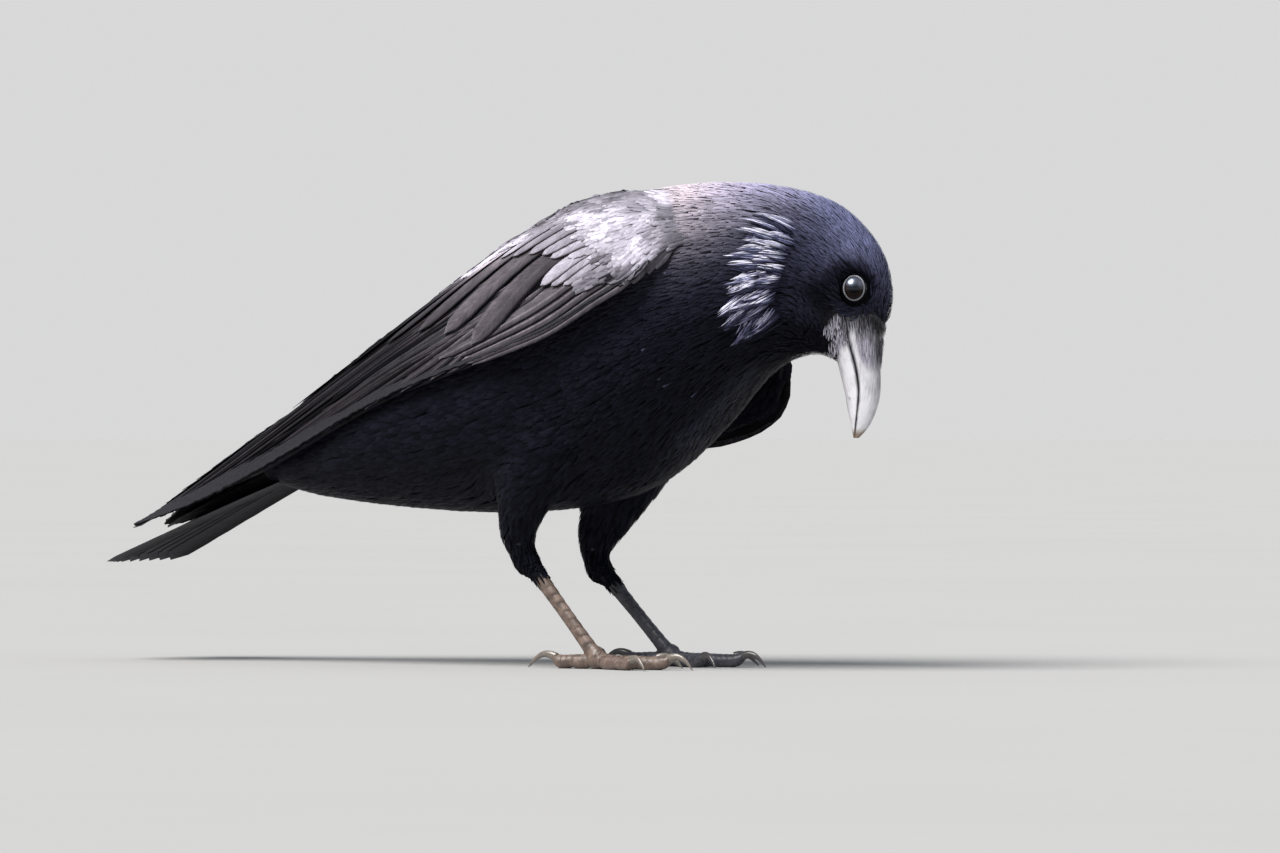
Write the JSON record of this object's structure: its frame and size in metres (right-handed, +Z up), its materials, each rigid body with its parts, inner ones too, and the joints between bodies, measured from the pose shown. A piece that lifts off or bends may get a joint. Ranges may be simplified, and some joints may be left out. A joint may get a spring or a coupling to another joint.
{
  "type": "carrion crow",
  "caption": "Black crow standing on both feet, leaning forward and looking straight down, wings folded, with one wing hanging a little lower beside the breast.",
  "frame": {"origin": "the floor under the middle of the bounding box", "axes": "+X ahead of the bird, +Y to its left, +Z up"},
  "size_m": [0.3886, 0.1282, 0.2126],
  "materials": {
    "plumage": "satin black feathers over flesh, with a violet-blue sheen",
    "soft_plumage": "soft matt black feathers",
    "flight_feathers": "satin black quill feathers, with a violet sheen",
    "bill_horn": "semi-gloss dark grey horn",
    "eye_glass": "wet gloss, very dark brown",
    "leg_scutes": "satin dark grey scales",
    "claw_horn": "satin dark horn"
  },
  "bodies": {
    "root": {"claw_left_hind": "claw_horn", "claw_left_inner": "claw_horn", "claw_left_middle": "claw_horn", "claw_left_outer": "claw_horn", "claw_right_hind": "claw_horn", "claw_right_inner": "claw_horn", "claw_right_middle": "claw_horn", "claw_right_outer": "claw_horn", "eye_left": "eye_glass", "eye_right": "eye_glass", "head": "plumage", "knuckle_left": "leg_scutes", "knuckle_right": "leg_scutes", "lower_mandible": "bill_horn", "neck": "plumage", "rump": "soft_plumage", "tail": "flight_feathers", "tail_coverts": "soft_plumage", "tarsus_left": "leg_scutes", "tarsus_right": "leg_scutes", "thigh_left": "plumage", "thigh_right": "plumage", "toe_left_hind": "leg_scutes", "toe_left_inner": "leg_scutes", "toe_left_middle": "leg_scutes", "toe_left_outer": "leg_scutes", "toe_right_hind": "leg_scutes", "toe_right_inner": "leg_scutes", "toe_right_middle": "leg_scutes", "toe_right_outer": "leg_scutes", "trunk": "plumage", "upper_mandible": "bill_horn", "wing_left_coverts": "flight_feathers", "wing_left_primaries": "flight_feathers", "wing_left_secondaries": "flight_feathers", "wing_left_shoulder": "flight_feathers", "wing_right_coverts": "flight_feathers", "wing_right_primaries": "flight_feathers", "wing_right_secondaries": "flight_feathers", "wing_right_shoulder": "flight_feathers"}
  },
  "joints": []
}
